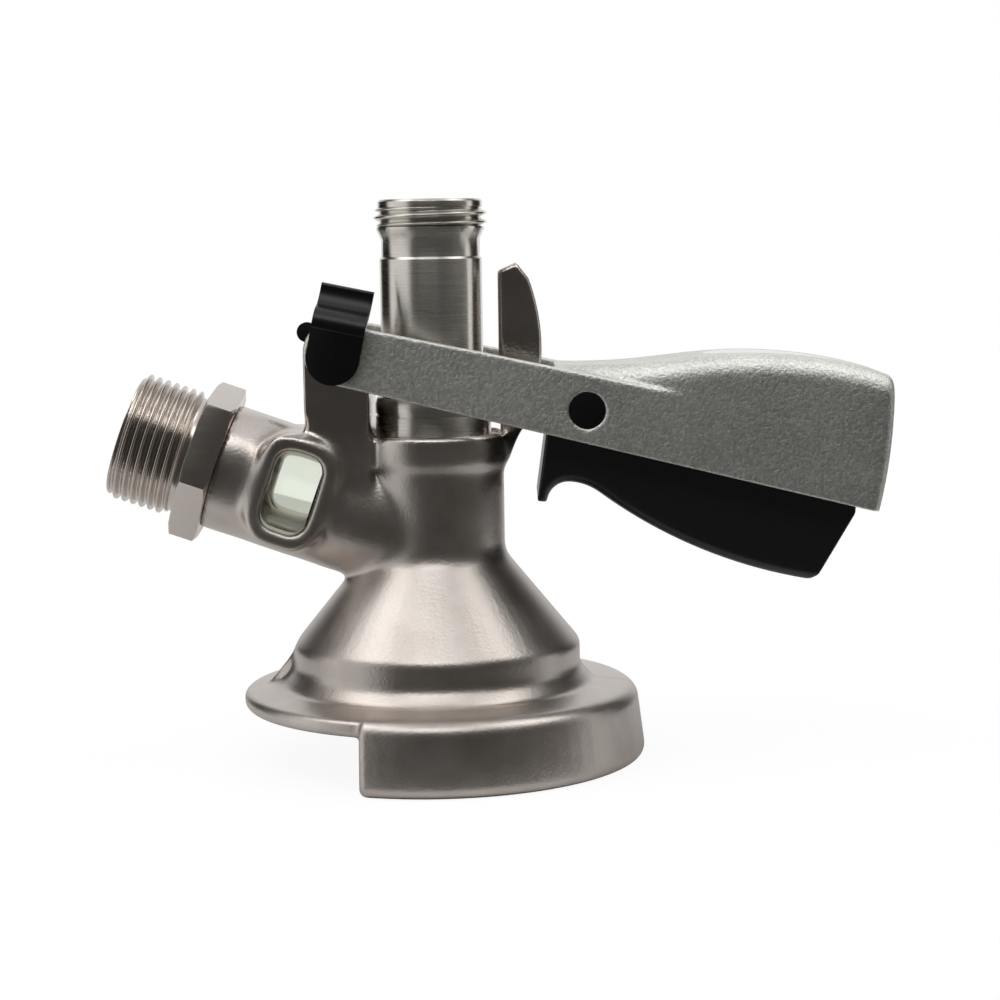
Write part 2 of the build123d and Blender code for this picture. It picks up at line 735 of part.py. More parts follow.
# Clip on the pin's near end, with the lifting tab over the arm
clip_turn = radians(arm_slope)
arm_dir = Vector(cos(clip_turn), 0, sin(clip_turn))
clip_face = Plane(origin=(pivot_x, -arm_half_width, pivot_z), x_dir=arm_dir, z_dir=(0, -1, 0))
clip_side = Plane(origin=clip_face.origin - arm_dir * clip_width / 2, x_dir=(0, 1, 0), z_dir=arm_dir)
with BuildPart() as pin_clip:
    with BuildSketch(clip_face):
        with Locations((0, -clip_foot_drop)):
            Circle(clip_width / 2)
        with Locations((0, (clip_bend_rise - clip_foot_drop) / 2)):
            Rectangle(clip_width, clip_bend_rise + clip_foot_drop)
    extrude(amount=clip_thickness)
    with BuildSketch(clip_side):
        with BuildLine():
            Spline(*clip_curve)
        trace(line_width=clip_thickness)
        fillet(vertices().group_by(Axis.Z)[-1], clip_thickness / 3)
    extrude(amount=clip_width)
write(pin_clip, "pin_clip")

# Keeper on the pin's far end, a disc with one wing
with BuildPart() as pin_keeper:
    with BuildSketch(Plane(origin=(pivot_x, arm_half_width, pivot_z), x_dir=(1, 0, 0), z_dir=(0, -1, 0))):
        Circle(keeper_disc_r)
        with Locations(Rotation(0, 0, keeper_turn)):
            with Locations((keeper_reach / 2, 0)):
                SlotOverall(keeper_reach + keeper_width, keeper_width)
    extrude(amount=-keeper_thickness)
write(pin_keeper, "pin_keeper")

# Studs pressed into the arms, running in the probe's flats
with BuildPart() as drive_studs:
    for side in (-1, 1):
        with BuildSketch(Plane.XZ.offset(side * stud_tip_y)):
            with Locations((0, stud_z)):
                Circle(stud_r)
        extrude(amount=side * (arm_half_gap + stud_sink - stud_tip_y))
write(drive_studs, "drive_studs")

with BuildPart() as trigger_pin:
    with BuildSketch(Plane.XZ):
        with Locations(trigger_pivot):
            Circle(trigger_pin_r)
    extrude(amount=arm_half_width - pin_sink, both=True)
write(trigger_pin, "trigger_pin")

# Trigger: a moulded hook and finger lever, hollow from above
with BuildPart() as trigger:
    with BuildSketch(Plane.XZ):
        with Locations(trigger_pivot):
            Circle(trigger_hub_r)
        with BuildLine():
            Polyline(trigger_crown[-1], trigger_crown[0], *trigger_front, hook_tip)
            TangentArc(finger_top, hook_tip, tangent=(-1, finger_top_slope))
            brow = TangentArc(finger_top, trigger_foot_line[0], tangent=(1, -finger_top_slope))
            TangentArc(trigger_foot_line[0], trigger_foot_line[-1], tangent=brow % 1)
            Polyline(trigger_foot_line[-1], *trigger_rear, *trigger_crown[1:])
        make_face()
    extrude(amount=trigger_half_width, both=True)
    foot_faces = trigger.faces().filter_by(GeomType.CYLINDER).group_by(Axis.Z)
    lower_faces = ShapeList(face for group in foot_faces for face in group
                            if face.center().Z < hook_limit_z)
    fillet(lower_faces.edges().filter_by(GeomType.CIRCLE), trigger_round)
    with BuildSketch(Plane.XZ):
        with BuildLine():
            floor_front, floor_mid, floor_rear = [(x, z + trigger_wall + trigger_round / 2)
                                                  for x, z in trigger_foot_line]
            rear_foot = (trigger_rear[0][0] - trigger_wall, trigger_rear[0][1] + trigger_wall)
            ThreePointArc((pocket_front_x, floor_front[1]), floor_mid, rear_foot)
            Polyline(rear_foot, (trigger_rear[1][0] - trigger_wall, trigger_rear[1][1]),
                     (trigger_rear[2][0] - trigger_wall, crown_limit_z), (pocket_front_x, crown_limit_z),
                     (pocket_front_x, floor_front[1]))
        make_face()
    extrude(amount=trigger_half_width - trigger_wall, both=True, mode=Mode.SUBTRACT)
    with BuildSketch(Plane.XZ):
        with Locations(trigger_pivot):
            Circle(spring_pocket_r)
        with BuildLine():
            Polyline((trigger_pin_x, crown_limit_z), (trigger_pin_x, trigger_pin_z - spring_pocket_r),
                     (pocket_front_x + 1, trigger_pin_z - spring_pocket_r),
                     (pocket_front_x + 1, crown_limit_z), close=True)
        make_face()
    extrude(amount=spring_pocket_half_width, both=True, mode=Mode.SUBTRACT)
    with BuildSketch(Plane.XZ):
        with Locations(trigger_pivot):
            Circle(trigger_pin_r + running_gap)
    extrude(amount=2 * trigger_half_width, both=True, mode=Mode.SUBTRACT)
write(trigger, "trigger")

# Torsion spring round the trigger pin: its upper leg bears on the grip, its lower leg on the trigger
coil_half = spring_turns * spring_pitch / 2
coil_plane = Plane(origin=(trigger_pin_x, -coil_half, trigger_pin_z),
                   x_dir=(-sin(radians(spring_lift)), 0, cos(radians(spring_lift))), z_dir=(0, 1, 0))
coil = coil_plane.from_local_coords(
    Helix(pitch=spring_pitch, height=2 * coil_half, radius=spring_coil_r, lefthand=True))
with BuildPart() as trigger_spring:
    with BuildSketch(Plane(origin=coil @ 0, z_dir=coil % 0)):
        Circle(spring_wire_r)
    sweep(path=coil)
    for end, leg_dir in [(coil @ 0, -(coil % 0)), (coil @ 1, coil % 1)]:
        with BuildSketch(Plane(origin=end, z_dir=leg_dir)):
            Circle(spring_wire_r)
        extrude(amount=spring_leg)
write(trigger_spring, "trigger_spring")
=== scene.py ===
# %% [markdown]
# # A keg coupler, dressed for the camera
#
# The real object is a slide-on coupler for beer kegs: a nickel-plated casting, a turned steel
# probe that is pushed down into the keg, and a blasted lever with a moulded trigger. The solids
# come from the CAD model. This file gives them cast blends, threads and finishes, then sets up
# the floor, the light and the camera. Lengths are in metres.

# %% Load the frame
from math import cos, pi, radians, sin

import bmesh
import bpy
from mathutils import Matrix, Vector
from mathutils.kdtree import KDTree


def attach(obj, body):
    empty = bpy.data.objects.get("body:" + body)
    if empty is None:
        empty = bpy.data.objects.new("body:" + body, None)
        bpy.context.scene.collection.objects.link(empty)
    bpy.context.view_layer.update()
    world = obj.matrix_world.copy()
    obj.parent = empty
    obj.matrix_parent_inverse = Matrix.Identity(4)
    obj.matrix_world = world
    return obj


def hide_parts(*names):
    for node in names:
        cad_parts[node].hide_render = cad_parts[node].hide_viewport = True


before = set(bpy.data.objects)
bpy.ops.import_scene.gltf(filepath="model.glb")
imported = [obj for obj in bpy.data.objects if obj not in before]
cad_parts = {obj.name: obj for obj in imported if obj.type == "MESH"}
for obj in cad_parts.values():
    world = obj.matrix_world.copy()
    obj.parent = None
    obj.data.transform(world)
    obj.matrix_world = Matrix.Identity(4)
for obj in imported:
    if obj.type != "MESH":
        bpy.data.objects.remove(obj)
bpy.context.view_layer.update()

mm = 0.001
print("nodes:", sorted(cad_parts))

# %% [markdown]
# ## The camera
#
# The place and the lens follow from points of known size in the photograph: the two threads,
# the turned rims and the ends of the handle. A long lens near eye height looks slightly down.

# %% Camera
pitch, yaw, roll = radians(6.649), radians(-0.481), radians(-0.835)
camera_place = Vector((17.258, -465.096, 106.621)) * mm
focal_pixels = 2282.066
picture_pixels = 1000

ahead = Vector((sin(yaw) * cos(pitch), cos(yaw) * cos(pitch), -sin(pitch)))
level_right = Vector((cos(yaw), -sin(yaw), 0))
level_up = level_right.cross(ahead)
right = level_right * cos(roll) + level_up * sin(roll)
up = level_up * cos(roll) - level_right * sin(roll)
facing = Matrix((right, up, -ahead)).transposed().to_4x4()

lens = bpy.data.cameras.new("camera")
lens.sensor_width = 36
lens.lens = lens.sensor_width * focal_pixels / picture_pixels
camera = bpy.data.objects.new("camera", lens)
bpy.context.scene.collection.objects.link(camera)
camera.matrix_world = Matrix.Translation(camera_place) @ facing
bpy.context.scene.camera = camera
bpy.context.scene.view_settings.view_transform = "Standard"
print("lens", round(lens.lens, 2), "mm")

# %% [markdown]
# ## Materials: the helpers
#
# A colour is written as it looks on a screen, as a hex value, and one function turns it to the
# linear numbers that Blender's shaders expect. Another adds a node with its settings and links.
# A finish starts with its average colour and roughness, and patterns then vary them.

# %% Colours and nodes


def linear(hex_colour):
    """The linear colour of an sRGB hex value."""
    channels = [int(hex_colour[i:i + 2], 16) / 255 for i in (1, 3, 5)]
    return [c / 12.92 if c <= 0.04045 else ((c + 0.055) / 1.055) ** 2.4 for c in channels] + [1.0]


def add_node(tree, kind, settings=None, **inputs):
    """Adds a node. An input is a value or another node's output socket, by name or as _number."""
    node = tree.nodes.new(kind)
    for name, value in (settings or {}).items():
        setattr(node, name, value)
    for name, value in inputs.items():
        key = int(name[1:]) if name[1:].isdigit() else name.replace("_", " ")
        if isinstance(value, bpy.types.NodeSocket):
            tree.links.new(value, node.inputs[key])
        else:
            node.inputs[key].default_value = value
    return node


print("the screen's mid grey #808080 is", round(linear("#808080")[0], 3), "in linear light")

# %% Finishes, ramps and ranges


def new_finish(name, base, metallic, roughness, **more):
    """A material with its shader. Returns the material, its node tree, its shader and its place."""
    material = bpy.data.materials.new(name)
    material.use_nodes = True
    tree = material.node_tree
    shader = tree.nodes["Principled BSDF"]
    shader.inputs["Base Color"].default_value = linear(base)
    shader.inputs["Metallic"].default_value = metallic
    shader.inputs["Roughness"].default_value = roughness
    for socket, value in more.items():
        shader.inputs[socket.replace("_", " ")].default_value = value
    place = add_node(tree, "ShaderNodeTexCoord").outputs["Object"]
    return material, tree, shader, place


def ramp(tree, factor, stops):
    """A colour ramp with the given (position, hex colour) stops."""
    node = add_node(tree, "ShaderNodeValToRGB", Fac=factor)
    elements = node.color_ramp.elements
    while len(elements) < len(stops):
        elements.new(0.5)
    for element, (position, colour) in zip(elements, stops):
        element.position = position
        element.color = linear(colour)
    return node.outputs["Color"]


def spread(tree, value, low, high):
    """Spreads a 0 to 1 value over a range."""
    return add_node(tree, "ShaderNodeMapRange", Value=value, To_Min=low, To_Max=high).outputs["Result"]


# %% [markdown]
# ## Cast nickel plate
#
# The body is an investment casting, tumbled and nickel plated. Its skin keeps a fine grain from
# the mould, about 0.3 mm across, so highlights break into sparkle at their edges. It is drawn at
# 0.6 mm, so that it shows. The plate has a warm tone that changes a little in patches of 9 mm.
# The lug and the blade stand out far enough for the tumbling to polish them, so the skin is
# smoother there than on the flange, the cone and the neck. The mould was parted in the middle
# plane, and a low seam stays there.

# %% Cast nickel plate
grain_size = 0.6 * mm
patch_size = 9 * mm
polish_starts_z, polish_full_z = 62 * mm, 69 * mm
seam_top, seam_foot = 0.12 * mm, 0.34 * mm

cast_nickel, tree, shader, place = new_finish("cast_nickel_plate", "#C6BEB7", 1.0, 0.3)
grain = add_node(tree, "ShaderNodeTexNoise", Vector=place, Scale=1 / grain_size, Detail=2.0,
                 Roughness=0.5)
patches = add_node(tree, "ShaderNodeTexNoise", Vector=place, Scale=1 / patch_size, Detail=2.0)
axes = add_node(tree, "ShaderNodeSeparateXYZ", Vector=place)
polish = add_node(tree, "ShaderNodeMapRange", Value=axes.outputs["Z"], From_Min=polish_starts_z,
                  From_Max=polish_full_z, To_Min=0.36, To_Max=0.2)
uneven = add_node(tree, "ShaderNodeMath", {"operation": "MULTIPLY"}, _0=polish.outputs["Result"],
                  _1=spread(tree, patches.outputs["Fac"], 0.85, 1.15))
tree.links.new(uneven.outputs["Value"], shader.inputs["Roughness"])
tint = ramp(tree, patches.outputs["Fac"], [(0.3, "#BEB5AE"), (0.7, "#CEC7C1")])
tree.links.new(tint, shader.inputs["Base Color"])
print(cast_nickel.name, "grain", grain_size / mm, "mm")

# %% Grain and seam of the casting
bump = add_node(tree, "ShaderNodeBump", Height=grain.outputs["Fac"], Strength=0.6, Distance=0.07 * mm)
off_middle = add_node(tree, "ShaderNodeMath", {"operation": "ABSOLUTE"}, _0=axes.outputs["Y"])
seam = add_node(tree, "ShaderNodeMapRange", Value=off_middle.outputs["Value"], From_Min=seam_top,
                From_Max=seam_foot, To_Min=1.0, To_Max=0.0)
ridge = add_node(tree, "ShaderNodeBump", Height=seam.outputs["Result"], Normal=bump.outputs["Normal"],
                 Strength=1.0, Distance=0.12 * mm)
tree.links.new(ridge.outputs["Normal"], shader.inputs["Normal"])
print("seam", round(2 * seam_foot / mm, 2), "mm wide at its foot")

# %% [markdown]
# ## Turned nickel plate and turned stainless steel
#
# The gas fitting is brass bar, turned and plated. The probe is stainless tube, turned and
# polished. Both show very fine lines round their axis. The lines are rings of noise: noise that
# is stretched fifty times across the axis, so it changes along the axis only. The real lines are
# about 0.05 mm apart, too fine to show here, so they are drawn at about 0.3 mm. The steel's shine
# is drawn out across them as well, so the tube shows tall soft streaks of light.

# %% Turned metals
branch_tilt = radians(19.5)
line_spacing = 0.3 * mm
line_stretch = 0.02


def turned_metal(name, base, roughness, tilt, strength):
    """A metal with fine lines round an axis, leaning by tilt from upright towards -X."""
    material, tree, shader, place = new_finish(name, base, 1.0, roughness)
    turned = add_node(tree, "ShaderNodeMapping", Vector=place, Rotation=(0, tilt, 0),
                      Scale=(line_stretch, line_stretch, 1))
    lines = add_node(tree, "ShaderNodeTexNoise", Vector=turned.outputs["Vector"],
                     Scale=1 / line_spacing, Detail=2.0)
    rough = spread(tree, lines.outputs["Fac"], roughness - 0.05, roughness + 0.08)
    tree.links.new(rough, shader.inputs["Roughness"])
    bump = add_node(tree, "ShaderNodeBump", Height=lines.outputs["Fac"], Strength=strength,
                    Distance=0.02 * mm)
    tree.links.new(bump.outputs["Normal"], shader.inputs["Normal"])
    return material


turned_nickel = turned_metal("turned_nickel_plate", "#C9C1BA", 0.2, pi / 2 - branch_tilt, 0.08)
turned_steel = turned_metal("turned_stainless", "#D9D5CD", 0.27, 0, 0.4)
tree = turned_steel.node_tree
shader = tree.nodes["Principled BSDF"]
shader.inputs["Anisotropic"].default_value = 0.93
shader.inputs["Anisotropic Rotation"].default_value = 0.25
tangent = add_node(tree, "ShaderNodeTangent", {"direction_type": "RADIAL", "axis": "Z"})
tree.links.new(tangent.outputs["Tangent"], shader.inputs["Tangent"])
print(turned_nickel.name, turned_steel.name, "lines", round(line_spacing / mm, 2), "mm")

# %% [markdown]
# ## Blasted steel
#
# The lever is cast and then blasted with grit, which leaves an even grain of small pits. It
# scatters light, so the lever looks grey and almost flat, with pale edges. The pits are drawn
# about 0.6 mm across, twice their real size, so that they show. A weak cloud of 14 mm keeps the
# broad side from looking painted.

# %% Blasted steel
pit_size = 0.62 * mm
cloud_size = 14 * mm
pit_share = 0.75

blasted_steel, tree, shader, place = new_finish("blasted_steel", "#E4E4DF", 1.0, 0.5)
pits = add_node(tree, "ShaderNodeTexNoise", Vector=place, Scale=1 / pit_size, Detail=3.0, Roughness=0.6)
cloud = add_node(tree, "ShaderNodeTexNoise", Vector=place, Scale=1 / cloud_size, Detail=3.0)
weak_cloud = add_node(tree, "ShaderNodeMath", {"operation": "MULTIPLY"}, _0=cloud.outputs["Fac"],
                      _1=1 - pit_share)
mixed = add_node(tree, "ShaderNodeMath", {"operation": "MULTIPLY_ADD"}, _0=pits.outputs["Fac"],
                 _1=pit_share, _2=weak_cloud.outputs["Value"])
tint = ramp(tree, mixed.outputs["Value"], [(0.38, "#D2D2CD"), (0.62, "#F6F6F1")])
tree.links.new(tint, shader.inputs["Base Color"])
bump = add_node(tree, "ShaderNodeBump", Height=pits.outputs["Fac"], Strength=1.0, Distance=0.2 * mm)
tree.links.new(bump.outputs["Normal"], shader.inputs["Normal"])
print(blasted_steel.name, "pits", pit_size / mm, "mm")

# %% [markdown]
# ## Moulded plastic, coated steel and rubber
#
# The trigger is black glass-filled nylon with a half gloss skin. The clip is spring steel with a
# satin black coat. The inlay in the grip is white gloss plastic, the seals are matt rubber, and
# the bush and the cage inside are white nylon. One grain breaks up the gloss and the surface of
# each, at the size and depth that its mould or coat leaves.

# %% Plastic, coat and rubber


def grained(name, base, roughness, size, strength, depth, index):
    """A finish that isn't metal, with one grain that breaks up its gloss and its surface."""
    material, tree, shader, place = new_finish(name, base, 0.0, roughness, IOR=index)
    grain = add_node(tree, "ShaderNodeTexNoise", Vector=place, Scale=1 / size, Detail=3.0)
    rough = spread(tree, grain.outputs["Fac"], roughness - 0.05, roughness + 0.06)
    tree.links.new(rough, shader.inputs["Roughness"])
    bump = add_node(tree, "ShaderNodeBump", Height=grain.outputs["Fac"], Strength=strength,
                    Distance=depth)
    tree.links.new(bump.outputs["Normal"], shader.inputs["Normal"])
    return material


black_nylon = grained("moulded_black_nylon", "#1A1B1C", 0.36, 1.2 * mm, 0.15, 0.03 * mm, 1.53)
black_coat = grained("satin_black_coat", "#0A0A0B", 0.34, 0.4 * mm, 0.2, 0.02 * mm, 1.5)
white_gloss = grained("white_gloss_plastic", "#EDEDEB", 0.2, 2.0 * mm, 0.05, 0.02 * mm, 1.5)
black_rubber = grained("black_seal_rubber", "#161616", 0.62, 0.5 * mm, 0.3, 0.03 * mm, 1.52)
white_nylon = grained("white_nylon", "#E4E2DA", 0.42, 0.8 * mm, 0.1, 0.02 * mm, 1.53)
print("plastics, coat and rubber ready")

# %% [markdown]
# ## Clear glass
#
# The sight glass is a clear tube with a trace of green. Faint streaks in its gloss, about 4 mm
# apart, keep it from looking like an empty hole.

# %% Glass
streak_size = 4 * mm
sight_glass_finish, tree, shader, place = new_finish(
    "clear_sight_glass", "#F4F7F0", 0.0, 0.02, IOR=1.49, Transmission_Weight=1.0)
streaks = add_node(tree, "ShaderNodeTexNoise", Vector=place, Scale=1 / streak_size, Detail=1.0)
tree.links.new(spread(tree, streaks.outputs["Fac"], 0.01, 0.06), shader.inputs["Roughness"])
print(sight_glass_finish.name)

# %% [markdown]
# ## Pieces: picking, editing and copying
#
# Blender's operators act on all that is selected, so each step first picks its one piece. Each
# dressed piece starts as a copy of its CAD solid, so it stands exactly where the solid does.
# The copy comes as loose triangles, so its doubles are merged first.

# %% Picking, editing and copying


def pick(piece):
    """Selects one piece and nothing else."""
    bpy.ops.object.select_all(action="DESELECT")
    piece.select_set(True)
    bpy.context.view_layer.objects.active = piece


def edit(piece):
    """Opens a piece in edit mode with nothing selected. Returns its editing mesh."""
    pick(piece)
    bpy.ops.object.mode_set(mode="EDIT")
    bpy.ops.mesh.select_all(action="DESELECT")
    return bmesh.from_edit_mesh(piece.data)


def done(piece):
    """Closes edit mode."""
    bpy.ops.object.mode_set(mode="OBJECT")
    piece.data.update()


def copy_of_solid(node, name):
    """A merged copy of a CAD solid, to be dressed."""
    piece = bpy.data.objects.new(name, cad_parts[node].data.copy())
    bpy.context.scene.collection.objects.link(piece)
    piece.data.materials.clear()
    edit(piece)
    bpy.ops.mesh.select_all(action="SELECT")
    bpy.ops.mesh.remove_doubles(threshold=0.001 * mm)
    done(piece)
    return piece


# %% [markdown]
# ## Pieces: skins, edges and finishes
#
# A casting or a moulding has no sharp edge. Bevelling every edge of a large solid fails where
# many edges meet, so the large pieces get an even net by a voxel remesh, and a few smoothing
# steps turn each sharp edge of the net into a small round. More steps give a larger round. The
# dense net is then thinned. Turned and stamped pieces are simpler, and a narrow bevel gives them
# the small break that takes off the burr.

# %% Skins, edges and finishes


def apply_modifier(piece, kind, **settings):
    """Adds a modifier with its settings and applies it at once."""
    pick(piece)
    modifier = piece.modifiers.new(kind.lower(), kind)
    for name, value in settings.items():
        setattr(modifier, name, value)
    bpy.ops.object.modifier_apply(modifier=modifier.name)


def triangles(piece):
    """How many triangles a piece has."""
    return sum(len(polygon.vertices) - 2 for polygon in piece.data.polygons)


def cast_skin(piece, voxel, steps):
    """Turns sharp CAD edges into the even rounds of a casting. More steps give larger rounds."""
    apply_modifier(piece, "REMESH", mode="VOXEL", voxel_size=voxel, use_smooth_shade=True)
    apply_modifier(piece, "SMOOTH", factor=0.5, iterations=steps)
    print(piece.name, "after the remesh:", triangles(piece), "triangles")


def thin_out(piece, most_triangles):
    """Thins a dense mesh to a number of triangles."""
    if triangles(piece) > most_triangles:
        apply_modifier(piece, "DECIMATE", ratio=most_triangles / triangles(piece))
    pick(piece)
    bpy.ops.object.shade_smooth()
    print(piece.name, triangles(piece), "triangles")


def break_edges(piece, width):
    """Gives the sharp edges of a turned or stamped piece their small break."""
    sharp = radians(32)
    apply_modifier(piece, "BEVEL", width=width, segments=2, limit_method="ANGLE", angle_limit=sharp)
    pick(piece)
    bpy.ops.object.shade_smooth_by_angle(angle=sharp)
    print(piece.name, triangles(piece), "triangles")


def finish_piece(piece, body, slot, material, *nodes):
    """Hands a piece its finish, its body and the solids that it stands for."""
    piece.data.materials.clear()
    piece.data.materials.append(material)
    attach(piece, body)
    if nodes:
        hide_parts(*nodes)


# %% [markdown]
# ## The cast body
#
# On a real casting no inside corner is sharp: the wax pattern has a fillet wherever two forms
# meet. CAD fillets between a cone, a slanted tube and a flat lug are hard to get, so they are
# made here. After the remesh, a smoothing that is strong only near the inside corners flows the
# net into fillets of about 3 mm. The frames round the sight windows are softened too, because
# the pattern's edges are rounder there than on the flange.

# %% Finding the inside corners


def creases(piece, least_turn, keep):
    """Points along the inside corners of a mesh, where two faces meet by more than least_turn."""
    point_spacing = 0.4 * mm
    mesh = bmesh.new()
    mesh.from_mesh(piece.data)
    points = []
    for edge in mesh.edges:
        if len(edge.link_faces) != 2 or edge.is_convex or edge.calc_face_angle(0) < least_turn:
            continue
        a, b = (vertex.co for vertex in edge.verts)
        steps = max(1, int((b - a).length / point_spacing))
        points += [p for p in (a.lerp(b, i / steps) for i in range(steps + 1)) if keep(p)]
    mesh.free()
    return points


def weigh(piece, name, points, full, none):
    """A vertex group that is 1 up to the distance full from the points, and 0 from none on."""
    tree = KDTree(len(points))
    for i, point in enumerate(points):
        tree.insert(point, i)
    tree.balance()
    group = piece.vertex_groups.new(name=name)
    for vertex in piece.data.vertices:
        distance = tree.find(vertex.co)[2]
        if distance < none:
            group.add([vertex.index], min(1, (none - distance) / (none - full)), "REPLACE")


def filleted(p):
    """Inside corners that the pattern maker filleted: above the flange and outside the bores."""
    return 16 * mm < p.z < 68 * mm and Vector((p.x, p.y)).length > 13 * mm


# %% Cast body
body_triangles = 190000
body_shell = copy_of_solid("body_casting", "body_shell")
corner_points = creases(body_shell, radians(20), filleted)
print(len(corner_points), "points on inside corners")
cast_skin(body_shell, 0.45 * mm, 5)
weigh(body_shell, "fillets", corner_points, full=1.6 * mm, none=4.6 * mm)
apply_modifier(body_shell, "SMOOTH", factor=0.5, iterations=90, vertex_group="fillets")

# %% Frames of the sight windows
branch_foot = Vector((0, 0, 44.8)) * mm
branch_frame = Matrix.Translation(branch_foot) @ Matrix.Rotation(branch_tilt - pi / 2, 4, "Y")
into_branch = branch_frame.inverted()
window_centre = 30.3 * mm
window_half_length, window_half_height = 9 * mm, 13 * mm
branch_wall_y = 10.5 * mm

near_windows = body_shell.vertex_groups.new(name="window_frames")
for vertex in body_shell.data.vertices:
    local = into_branch @ vertex.co
    beside = abs(local.z - window_centre) < window_half_length and abs(local.x) < window_half_height
    if beside and abs(local.y) > branch_wall_y:
        near_windows.add([vertex.index], 1, "REPLACE")
apply_modifier(body_shell, "SMOOTH", factor=0.5, iterations=30, vertex_group="window_frames")
thin_out(body_shell, body_triangles)
finish_piece(body_shell, "body", "nickel_casting", cast_nickel, "body_casting")

# %% [markdown]
# ## Threads
#
# A pipe thread is one ridge wound round a core, 14 turns to the inch. A sheet of squares is
# rolled into a tube, and each point's distance from the axis then follows from its height and its
# angle: a ridge that rises by one pitch in one turn. The flank is half straight and half a wave,
# which rounds the root and the crest. The ridge runs out at both ends, as under a real die.

# %% Wound thread sleeve
thread_pitch = 25.4 / 14 * mm
thread_depth = 0.6403 * thread_pitch
root_flat, flank = 0.14, 0.7
end_height = 0.15
wall = 0.6 * mm


def ridge_height(height, angle, length, runout):
    """The height of the ridge, from 0 at the root to 1 at the crest."""
    turn = (height / thread_pitch - angle / (2 * pi)) % 1
    slope = min(1, max(0, (1 - abs(2 * turn - 1) - root_flat) / flank))
    wave = (1 - cos(pi * slope)) / 2
    ends = min(1, height / runout + end_height, (length - height) / runout + end_height)
    return (slope + wave) / 2 * ends


def thread_sleeve(name, crest_r, length, runout):
    """A threaded sleeve round the Z axis, from 0 to length, with a closed wall."""
    around, per_turn = 96, 14
    rows = int(length / thread_pitch * per_turn)
    root_r = crest_r - thread_depth
    bpy.ops.object.select_all(action="DESELECT")
    bpy.ops.mesh.primitive_grid_add(x_subdivisions=around, y_subdivisions=rows + 2, size=2)
    sleeve = bpy.context.object
    sleeve.name = name
    for vertex in sleeve.data.vertices:
        angle = (vertex.co.x + 1) * pi
        row = round((vertex.co.y + 1) / 2 * (rows + 2))
        height = min(max(row - 1, 0), rows) / rows * length
        radius = root_r + thread_depth * ridge_height(height, angle, length, runout)
        if row in (0, rows + 2):
            radius = root_r - wall
        vertex.co = (radius * cos(angle), radius * sin(angle), height)
    edit(sleeve)
    bpy.ops.mesh.select_all(action="SELECT")
    bpy.ops.mesh.remove_doubles(threshold=0.005 * mm)
    bpy.ops.mesh.select_all(action="DESELECT")
    bpy.ops.mesh.select_non_manifold()
    bpy.ops.mesh.bridge_edge_loops()
    bpy.ops.mesh.select_all(action="SELECT")
    bpy.ops.mesh.normals_make_consistent(inside=False)
    done(sleeve)
    bpy.ops.object.shade_smooth()
    print(name, triangles(sleeve), "triangles")
    return sleeve


def place_mesh(piece, matrix):
    """Puts a finished mesh in its place, so that the object itself stays at the origin."""
    piece.data.transform(matrix)
    piece.data.update()


def draw_in(piece, placement, start, least_r, crest_r):
    """Draws the plain wall of a thread in to the thread's root, from start on along the axis."""
    mesh = edit(piece)
    inward = placement.inverted()
    for vertex in mesh.verts:
        local = inward @ vertex.co
        radius = Vector((local.x, local.y)).length
        if local.z > start - 0.1 * mm and radius > least_r:
            pull = (crest_r - thread_depth) / radius
            vertex.co = placement @ Vector((local.x * pull, local.y * pull, local.z))
    bmesh.update_edit_mesh(piece.data)
    done(piece)


print("thread pitch", round(thread_pitch / mm, 3), "mm, depth", round(thread_depth / mm, 3), "mm")

# %% [markdown]
# ## The gas fitting
#
# The fitting is one turned brass piece: hexagon, groove and a G 3/4 thread. The copy keeps the
# turned form, its plain thread wall is drawn in to the root of the thread, and the wound sleeve
# goes over it. The edges get the small break that every turned part has.

# %% Gas fitting
inlet_crest_r, inlet_start, inlet_end = 13.22 * mm, 53.7 * mm, 66.6 * mm
gas_fitting = copy_of_solid("gas_inlet_fitting", "gas_fitting")
draw_in(gas_fitting, branch_frame, inlet_start, 12.1 * mm, inlet_crest_r)
break_edges(gas_fitting, 0.22 * mm)
finish_piece(gas_fitting, "body", "nickel_casting", turned_nickel, "gas_inlet_fitting")

inlet_thread = thread_sleeve("inlet_thread", inlet_crest_r, inlet_end - inlet_start, 1.1 * mm)
place_mesh(inlet_thread, branch_frame @ Matrix.Translation((0, 0, inlet_start)))
finish_piece(inlet_thread, "body", "nickel_casting", turned_nickel)

# %% [markdown]
# ## The beer probe
#
# The probe is stainless tube with a G 5/8 thread at its top. It is dressed in the same way.

# %% Beer probe
outlet_crest_r, outlet_start, outlet_end = 11.455 * mm, 108.3 * mm, 112.2 * mm
probe_tube = copy_of_solid("beer_probe", "probe_tube")
draw_in(probe_tube, Matrix.Identity(4), outlet_start, 11 * mm, outlet_crest_r)
break_edges(probe_tube, 0.12 * mm)
finish_piece(probe_tube, "probe", "stainless", turned_steel, "beer_probe")

outlet_thread = thread_sleeve("outlet_thread", outlet_crest_r, outlet_end - outlet_start, 0.7 * mm)
place_mesh(outlet_thread, Matrix.Translation((0, 0, outlet_start)))
finish_piece(outlet_thread, "probe", "stainless", turned_steel)

# %% [markdown]
# ## The lever handle
#
# The lever is one casting, so its skin is made as the body's is. Blasting wears its edges, so it
# gets more smoothing steps than the body, which leaves them rounder.

# %% Lever handle
lever_triangles = 190000
lever_handle = copy_of_solid("handle", "lever_handle")
cast_skin(lever_handle, 0.32 * mm, 13)
thin_out(lever_handle, lever_triangles)
finish_piece(lever_handle, "handle", "blasted_steel", blasted_steel, "handle")

# %% [markdown]
# ## The trigger
#
# The trigger is moulded, with an even round on every edge so that it is kind to the fingers.

